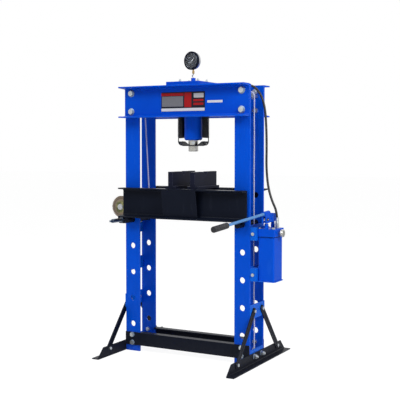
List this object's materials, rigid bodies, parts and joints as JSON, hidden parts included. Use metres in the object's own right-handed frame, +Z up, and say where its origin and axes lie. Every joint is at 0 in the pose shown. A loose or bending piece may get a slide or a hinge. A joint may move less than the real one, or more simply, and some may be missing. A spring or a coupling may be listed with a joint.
{
  "type": "hydraulic press",
  "caption": "Floor-standing H-frame hydraulic press with a hand pump, gauge, spring-return ram, pinned bed that a winch and wire rope lift, V blocks and angle feet.",
  "frame": {"origin": "middle of the footprint, on the floor", "axes": "+Z up, -Y to the operator, +X to the pump"},
  "size_m": [1.1922, 1.1342, 1.862],
  "materials": {
    "blue_paint": "glossy powder coat",
    "black_paint": "satin black paint",
    "pale_blue_paint": "glossy paint",
    "zinc": "bright zinc plate",
    "yellow_zinc": "yellow zinc plate",
    "steel": "machined and lightly oiled",
    "spring_steel": "black oiled wire",
    "hard_chrome": "ground and plated",
    "brass": "turned",
    "hose_rubber": "smooth cover",
    "grip_rubber": "matt ribbed",
    "rope_cover": "pale coated wire rope",
    "dial_face": "printed dark face",
    "needle_paint": "pale paint",
    "lens_glass": "clear",
    "gauge_steel": "pale grey case"
  },
  "bodies": {
    "frame": {"upright_left_front": "blue_paint", "upright_left_rear": "blue_paint", "upright_right_front": "blue_paint", "upright_right_rear": "blue_paint", "battens": "blue_paint", "top_beam_front": "blue_paint", "top_beam_rear": "blue_paint", "cylinder_plate": "blue_paint", "cylinder_barrel": "blue_paint", "pump_tank": "blue_paint", "pump_head": "blue_paint", "pump_brackets": "blue_paint", "plunger_guide": "blue_paint", "fulcrum_post": "blue_paint", "bottom_rail_front": "black_paint", "bottom_rail_rear": "black_paint", "foot_left": "black_paint", "foot_right": "black_paint", "stays": "black_paint", "winch_frame": "black_paint", "bed_pins": "black_paint", "gauge_bezel": "black_paint", "top_bolts": "zinc", "base_bolts": "zinc", "bracket_bolts": "zinc", "hose_fittings": "zinc", "rope_pins": "zinc", "cylinder_gland": "steel", "return_springs": "spring_steel", "gauge_connection": "brass", "hydraulic_hose": "hose_rubber", "rope_lift_line": "rope_cover", "rope_strands": "rope_cover", "rope_tail": "rope_cover", "gauge_dial": "dial_face", "gauge_lens": "lens_glass", "gauge_case": "gauge_steel"},
    "ram": {"ram_rod": "hard_chrome", "ram_nose": "steel", "ram_screw": "zinc", "spring_strap": "blue_paint"},
    "lever": {"lever_fork": "blue_paint", "pump_handle": "pale_blue_paint", "handle_grip": "grip_rubber"},
    "plunger": {"pump_plunger": "hard_chrome"},
    "valve": {"release_valve": "hard_chrome"},
    "bed": {"bed_channel_front": "black_paint", "bed_channel_rear": "black_paint", "bed_spacers": "black_paint", "v_block_left": "black_paint", "v_block_right": "black_paint", "rope_bed_run": "rope_cover"},
    "drum": {"winch_drum": "zinc", "rope_winding": "rope_cover", "winch_gear": "yellow_zinc"},
    "pinion": {"winch_pinion": "steel"},
    "top_sheave": {"top_sheave": "zinc"},
    "bed_sheave_left": {"bed_sheave_left": "zinc"},
    "bed_sheave_right": {"bed_sheave_right": "zinc"},
    "needle": {"gauge_needle": "needle_paint"}
  },
  "joints": [
    {"name": "ram_slide", "type": "slide", "parent": "frame", "child": "ram", "axis": [0, 0, -1], "range_m": [0, 0.11], "stiffness_N_per_m": 2000, "springref_m": -0.08, "deforming": ["return_springs"]},
    {"name": "bed_lift", "type": "slide", "parent": "frame", "child": "bed", "axis": [0, 0, 1], "range_m": [0, 0.04], "deforming": ["rope_strands"]},
    {"name": "pump_lever", "type": "hinge", "parent": "frame", "child": "lever", "pos_m": [0.50859, 0.19006, 0.866], "axis": [-1, 0, 0], "range_deg": [0, 35]},
    {"name": "plunger_slide", "type": "slide", "parent": "frame", "child": "plunger", "axis": [0, 0, 1], "range_m": [0, 0.0631]},
    {"name": "release_valve_turn", "type": "hinge", "parent": "frame", "child": "valve", "pos_m": [0.58909, 0.14906, 0.779], "axis": [1, 0, 0], "range_deg": [0, 270]},
    {"name": "drum_spin", "type": "hinge", "parent": "frame", "child": "drum", "pos_m": [-0.52591, 0.19206, 0.897], "axis": [0, 1, 0], "range_deg": [0, 138]},
    {"name": "pinion_spin", "type": "hinge", "parent": "frame", "child": "pinion", "pos_m": [-0.52591, 0.14206, 0.813], "axis": [0, 1, 0], "range_deg": [-564, 0]},
    {"name": "top_sheave_spin", "type": "hinge", "parent": "frame", "child": "top_sheave", "pos_m": [-0.41291, 0.16206, 1.565], "axis": [0, 1, 0], "range_deg": [-92, 0]},
    {"name": "bed_sheave_left_spin", "type": "hinge", "parent": "bed", "child": "bed_sheave_left", "pos_m": [-0.28291, 0.16206, 0.9368], "axis": [0, 1, 0], "range_deg": [0, 53]},
    {"name": "bed_sheave_right_spin", "type": "hinge", "parent": "bed", "child": "bed_sheave_right", "pos_m": [0.30909, 0.16206, 0.9368], "axis": [0, 1, 0], "range_deg": [0, 53]},
    {"name": "gauge_needle_turn", "type": "hinge", "parent": "frame", "child": "needle", "pos_m": [-0.01091, 0.16206, 1.806], "axis": [0.1908, 0.9816, 0], "range_deg": [0, 270]}
  ],
  "couplings": [
    {"joint": "plunger_slide", "follows": "pump_lever", "m_per_rad": 0.1017},
    {"joint": "drum_spin", "follows": "bed_lift", "rad_per_m": 60.06},
    {"joint": "pinion_spin", "follows": "bed_lift", "rad_per_m": -245.7},
    {"joint": "top_sheave_spin", "follows": "bed_lift", "rad_per_m": -40},
    {"joint": "bed_sheave_left_spin", "follows": "bed_lift", "rad_per_m": 22.727},
    {"joint": "bed_sheave_right_spin", "follows": "bed_lift", "rad_per_m": 22.727}
  ]
}
